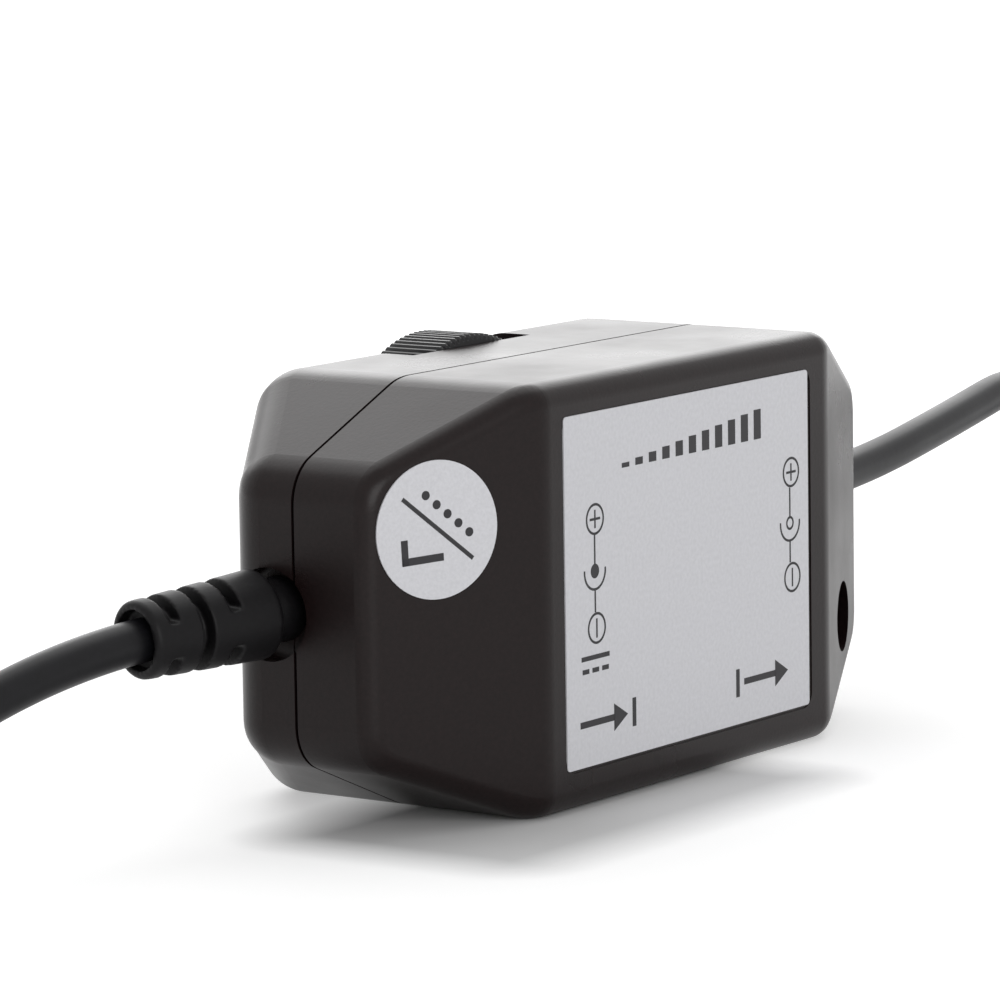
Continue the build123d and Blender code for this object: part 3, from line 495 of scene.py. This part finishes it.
screw_steel = bare_metal("screw_steel", (0.42, 0.42, 0.43), gloss=0.38)
head_radius, head_height, head_face, head_round = 0.0028, 0.002, -0.0052, 0.0009
shank_radius, shank_length, shank_middle = 0.0015, 0.012, 0.0028
recess_length, recess_depth, recess_width = 0.0031, 0.0026, 0.00062
screw_parts = []
for along, up in ((0.033, 0.01057), (-0.033, 0.02943)):
    bpy.ops.mesh.primitive_cylinder_add(vertices=64, radius=head_radius, depth=head_height,
                                        location=(along, head_face + head_height / 2, up),
                                        rotation=upright)
    head = bpy.context.active_object
    place_in_mesh(head)
    bpy.context.tool_settings.mesh_select_mode = (False, True, False)
    bpy.ops.object.mode_set(mode="EDIT")
    bpy.ops.mesh.select_all(action="DESELECT")
    bpy.ops.object.mode_set(mode="OBJECT")
    for edge in head.data.edges:
        ends = [head.data.vertices[index].co for index in edge.vertices]
        edge.select = all(abs(end.y - head_face) < 0.00001 for end in ends)
    bpy.ops.object.mode_set(mode="EDIT")
    bpy.ops.mesh.bevel(offset=head_round, segments=6)
    bpy.ops.object.mode_set(mode="OBJECT")
    for recess_turn in (25, 115):
        bpy.ops.mesh.primitive_cube_add(size=1, location=(along, head_face, up))
        cutter = bpy.context.active_object
        cutter.scale = (recess_length, recess_depth, recess_width)
        cutter.rotation_euler = (0, radians(recess_turn), 0)
        place_in_mesh(cutter)
        select_piece(head)
        recess = head.modifiers.new("recess", "BOOLEAN")
        recess.operation = "DIFFERENCE"
        recess.object = cutter
        bpy.ops.object.modifier_apply(modifier="recess")
        bpy.data.objects.remove(cutter)
    bpy.ops.mesh.primitive_cylinder_add(vertices=48, radius=shank_radius, depth=shank_length,
                                        location=(along, shank_middle, up), rotation=upright)
    shank = bpy.context.active_object
    place_in_mesh(shank)
    screw_parts += [head, shank]
bpy.ops.object.select_all(action="DESELECT")
for part in screw_parts:
    part.select_set(True)
bpy.context.view_layer.objects.active = screw_parts[0]
bpy.ops.object.join()
screws = bpy.context.active_object
screws.name = "cross_head_screws"
bpy.ops.object.shade_smooth_by_angle(angle=radians(35))
screws.data.materials.append(screw_steel)
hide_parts("case_screws")
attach(screws, "case")


# Thumb wheel: black moulding with fine serrations, a web at the front and a hub on the shaft.
# The hub has a flat and is pressed on the control's shaft. The rings of the shape are drawn out
# one after the other, and the serrations are pressed into the rim last.
wheel_middle = Vector((-0.0008, 0.0087, 0.02605))
bore_radius, bore_flat_up = 0.003, 0.0015
steps_per_tooth, teeth = 4, 120
steps_round = steps_per_tooth * teeth
rim_inside, tooth_root = 0.0146, 0.974
# radius and place of each ring: front face, rim with its edges broken, web's back, hub
wheel_rings = [(0.0148, 0.0087), (0.015, 0.0089), (0.015, 0.0147), (0.0148, 0.0149),
               (0.0121, 0.0149), (0.012, 0.0148), (0.012, 0.0109), (0.0055, 0.0109),
               (0.0055, 0.0149), (0.003, 0.0149)]
bpy.ops.mesh.primitive_circle_add(vertices=steps_round, radius=bore_radius, fill_type="NOTHING",
                                  location=wheel_middle, rotation=upright)
wheel = bpy.context.active_object
wheel.name = "serrated_wheel"
place_in_mesh(wheel)
bpy.context.tool_settings.mesh_select_mode = (True, False, False)
bpy.ops.object.mode_set(mode="EDIT")
bpy.ops.mesh.select_all(action="SELECT")
ring_radius, ring_place = bore_radius, wheel_middle.y
for next_radius, next_place in wheel_rings:
    step_back = (0, next_place - ring_place, 0)
    bpy.ops.mesh.extrude_region_move(TRANSFORM_OT_translate={"value": step_back})
    wider = next_radius / ring_radius
    bpy.ops.transform.resize(value=(wider, 1, wider), center_override=wheel_middle)
    ring_radius, ring_place = next_radius, next_place
step_front = (0, wheel_middle.y - ring_place, 0)
bpy.ops.mesh.extrude_region_move(TRANSFORM_OT_translate={"value": step_front})
bpy.ops.mesh.select_all(action="SELECT")
bpy.ops.mesh.remove_doubles(threshold=0.000002)
bpy.ops.mesh.normals_make_consistent(inside=False)


def select_on_wheel(wanted):
    """Selects points by their distance from the axis, their step round it and their height."""
    bpy.ops.mesh.select_all(action="DESELECT")
    bpy.ops.object.mode_set(mode="OBJECT")
    for point in wheel.data.vertices:
        along, up = point.co.x - wheel_middle.x, point.co.z - wheel_middle.z
        step = round(atan2(up, along) * steps_round / (2 * pi))
        point.select = wanted((along ** 2 + up ** 2) ** 0.5, step, up)
    bpy.ops.object.mode_set(mode="EDIT")


# half the steps of each tooth are drawn in to the root, and the bore's top is made flat
select_on_wheel(lambda radius, step, up: radius > rim_inside and step % steps_per_tooth in (2, 3))
bpy.ops.transform.resize(value=(tooth_root, 1, tooth_root), center_override=wheel_middle)
select_on_wheel(lambda radius, step, up: radius < bore_radius + 0.0001 and up > bore_flat_up)
bpy.ops.transform.resize(value=(1, 1, 0),
                         center_override=wheel_middle + Vector((0, 0, bore_flat_up)))
bpy.ops.object.mode_set(mode="OBJECT")
bpy.ops.object.shade_smooth_by_angle(angle=radians(24))
wheel.data.materials.append(moulded_black("wheel_moulding", (0.014, 0.014, 0.015), gloss=0.34,
                                          grain=0.0007, depth=0.000006))
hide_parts("thumb_wheel")
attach(wheel, "dial")


# Potentiometer: the control in front of the wheel, a dark blue moulded can with a pale shaft that
# carries the wheel. Its three tinned pins are soldered through the board, as are the legs of the
# transistor and the chip.
finish_node("potentiometer_body", moulded_black("control_can", (0.02, 0.03, 0.09), gloss=0.4,
                                                grain=0.0008, depth=0.000008))
finish_node("potentiometer_shaft", printed_film("pale_shaft", (0.6, 0.57, 0.48), gloss=0.45,
                                                fleck=0.0008))
tinned = bare_metal("tinned_metal", (0.62, 0.62, 0.6), gloss=0.3)
for node in ("potentiometer_pins", "power_transistor_tab", "timer_chip_legs"):
    finish_node(node, tinned)


# Circuit board and what is soldered to it: green glass-fibre laminate, black moulded packages,
# lacquered resistors, a can in a shrunk sleeve and a film capacitor dipped in resin. The board
# sits on the front shell's pegs, and the rear shell's rests press it there.
board_parts = {
    "circuit_board": printed_film("green_laminate", (0.02, 0.16, 0.05), gloss=0.3, fleck=0.0012),
    "resistors": printed_film("resistor_lacquer", (0.5, 0.36, 0.2), gloss=0.35, fleck=0.0007),
    "filter_capacitor": printed_film("can_sleeve", (0.03, 0.035, 0.12), gloss=0.3, fleck=0.001),
    "timing_capacitor": printed_film("film_dip", (0.45, 0.1, 0.02), gloss=0.28, fleck=0.0009),
}
for node, finish in board_parts.items():
    finish_node(node, finish)
package = moulded_black("black_package", (0.02, 0.02, 0.021), gloss=0.5, grain=0.0004,
                        depth=0.00001)
for node in ("power_transistor_case", "timer_chip", "protection_diode"):
    finish_node(node, package)


# Leads: the cords' red and black cores, stranded copper in extruded vinyl.
# They leave the jackets inside the case, and their ends are soldered to the board.
red_insulation = printed_film("red_insulation", (0.45, 0.015, 0.012), gloss=0.35, fleck=0.0008)
black_insulation = moulded_black("black_insulation", (0.015, 0.015, 0.016), gloss=0.35,
                                 grain=0.0008, depth=0.000006)
for end in ("input", "output"):
    finish_node(f"{end}_lead_red", red_insulation)
    finish_node(f"{end}_lead_black", black_insulation)


# Jack and plug: black vinyl grips moulded over the cords' ends, with rings for the fingers.
# Their contacts are turned or rolled brass with nickel plate, and a black insulator fills the
# plug's barrel.
end_moulding = moulded_black("end_moulding", (0.008, 0.008, 0.009), gloss=0.44, grain=0.0006,
                             depth=0.000012, ior=1.35)
nickel = bare_metal("nickel_plate", (0.72, 0.7, 0.66), gloss=0.22)
for node in ("input_jack_moulding", "output_plug_moulding"):
    finish_node(node, end_moulding)
for node in ("input_jack_sleeve", "input_jack_pin", "output_plug_barrel"):
    finish_node(node, nickel)
finish_node("output_plug_insulator", black_insulation)


# Table and surround: a white sheet and white air, with three large soft lamps, one above, one
# in front on the left and one low behind. What the camera and the glossy surfaces see of the
# sheet and the air is white, apart from the shadow beside the case, which is partly cast and
# partly painted: the sheet's own glow is held back near the case, most under the left front.
def seen_directly(nodes, links):
    """One where the camera, a reflection or a see-through surface looks, and nought elsewhere."""
    path = nodes.new("ShaderNodeLightPath")
    seen = nodes.new("ShaderNodeMath")
    seen.operation = "MAXIMUM"
    links.new(path.outputs["Is Camera Ray"], seen.inputs[0])
    links.new(path.outputs["Is Glossy Ray"], seen.inputs[1])
    seen_all = nodes.new("ShaderNodeMath")
    seen_all.operation = "MAXIMUM"
    links.new(seen.outputs[0], seen_all.inputs[0])
    links.new(path.outputs["Is Transmission Ray"], seen_all.inputs[1])
    return seen_all.outputs[0]


bpy.ops.mesh.primitive_plane_add(size=60, location=(0, 0, 0))
table = bpy.context.active_object
table.name = "white_table"
sheet = bpy.data.materials.new("white_sheet")
sheet.use_nodes = True
sheet_nodes, sheet_links = sheet.node_tree.nodes, sheet.node_tree.links
sheet_nodes.remove(sheet_nodes["Principled BSDF"])
sheet_diffuse = sheet_nodes.new("ShaderNodeBsdfDiffuse")
sheet_diffuse.inputs["Color"].default_value = (0.8, 0.8, 0.8, 1)
sheet_glow = sheet_nodes.new("ShaderNodeEmission")
sheet_glow.inputs["Color"].default_value = (1, 1, 1, 1)
sheet_place = sheet_nodes.new("ShaderNodeTexCoord")
# how far a place lies outside a box under the left half of the front, where the painted shadow is
# darkest
painted_shadow_middle, painted_shadow_half = (-0.0180, -0.0125, 0), (0.0225, 0.0105, 0)
measure = sheet_place.outputs["Object"]
for operation, operand in (("SUBTRACT", painted_shadow_middle), ("ABSOLUTE", None),
                           ("SUBTRACT", painted_shadow_half), ("MAXIMUM", (0, 0, 0)), ("LENGTH", None)):
    sum_step = sheet_nodes.new("ShaderNodeVectorMath")
    sum_step.operation = operation
    sheet_links.new(measure, sum_step.inputs[0])
    if operand:
        sum_step.inputs[1].default_value = operand
    measure = sum_step.outputs["Value" if operation == "LENGTH" else "Vector"]
# painted shadow: the sheet's glow is nought in the box, rises to white within a centimetre of it,
# and rises once more far away
shadow_paint_ramps = []
for nearest, farthest, whitest in ((0.0, 0.009, 0.42), (0.15, 0.6, 0.4)):
    ramp = sheet_nodes.new("ShaderNodeMapRange")
    ramp.inputs["From Min"].default_value = nearest
    ramp.inputs["From Max"].default_value = farthest
    ramp.inputs["To Max"].default_value = whitest
    sheet_links.new(measure, ramp.inputs["Value"])
    shadow_paint_ramps.append(ramp)
shadow_paint_sum = sheet_nodes.new("ShaderNodeMath")
shadow_paint_sum.operation = "ADD"
sheet_links.new(shadow_paint_ramps[0].outputs["Result"], shadow_paint_sum.inputs[0])
sheet_links.new(shadow_paint_ramps[1].outputs["Result"], shadow_paint_sum.inputs[1])
# the glow that the camera and reflections see, low beside the case as a painted shadow
painted_shadow_glow = sheet_nodes.new("ShaderNodeMath")
painted_shadow_glow.operation = "MULTIPLY"
sheet_links.new(shadow_paint_sum.outputs[0], painted_shadow_glow.inputs[1])
sheet_links.new(seen_directly(sheet_nodes, sheet_links), painted_shadow_glow.inputs[0])
sheet_links.new(painted_shadow_glow.outputs[0], sheet_glow.inputs["Strength"])
sheet_sum = sheet_nodes.new("ShaderNodeAddShader")
sheet_links.new(sheet_diffuse.outputs[0], sheet_sum.inputs[0])
sheet_links.new(sheet_glow.outputs[0], sheet_sum.inputs[1])
sheet_links.new(sheet_sum.outputs[0], sheet_nodes["Material Output"].inputs["Surface"])
table.data.materials.append(sheet)

world = bpy.data.worlds.new("studio")
bpy.context.scene.world = world
world.use_nodes = True
world_nodes, world_links = world.node_tree.nodes, world.node_tree.links
air = world_nodes["Background"]
air.inputs["Color"].default_value = (1, 1, 1, 1)
air.inputs["Strength"].default_value = 0.4
white_air = world_nodes.new("ShaderNodeBackground")
white_air.inputs["Color"].default_value = (1, 1, 1, 1)
white_air.inputs["Strength"].default_value = 1.0
air_mix = world_nodes.new("ShaderNodeMixShader")
world_links.new(seen_directly(world_nodes, world_links), air_mix.inputs["Fac"])
world_links.new(air.outputs[0], air_mix.inputs[1])
world_links.new(white_air.outputs[0], air_mix.inputs[2])
world_links.new(air_mix.outputs[0], world_nodes["World Output"].inputs["Surface"])

lamp_target = Vector((0, 0, 0.02))
for lamp_name, lamp_place, lamp_size, lamp_power in (
    ("top_lamp", (0.55, 0.55, 1.0), 1.8, 12.5),
    ("front_lamp", (-0.8, -1.2, 0.45), 0.9, 8.0),
    ("back_lamp", (1.25, 0.8, 0.42), 1.0, 4.0),
):
    lamp_data = bpy.data.lights.new(lamp_name, "AREA")
    lamp_data.shape = "SQUARE"
    lamp_data.size = lamp_size
    lamp_data.energy = lamp_power
    lamp = bpy.data.objects.new(lamp_name, lamp_data)
    bpy.context.collection.objects.link(lamp)
    lamp.location = lamp_place
    lamp.rotation_mode = "QUATERNION"
    lamp.rotation_quaternion = (Vector(lamp_place) - lamp_target).to_track_quat("Z", "Y")

bpy.context.scene.view_settings.view_transform = "Standard"
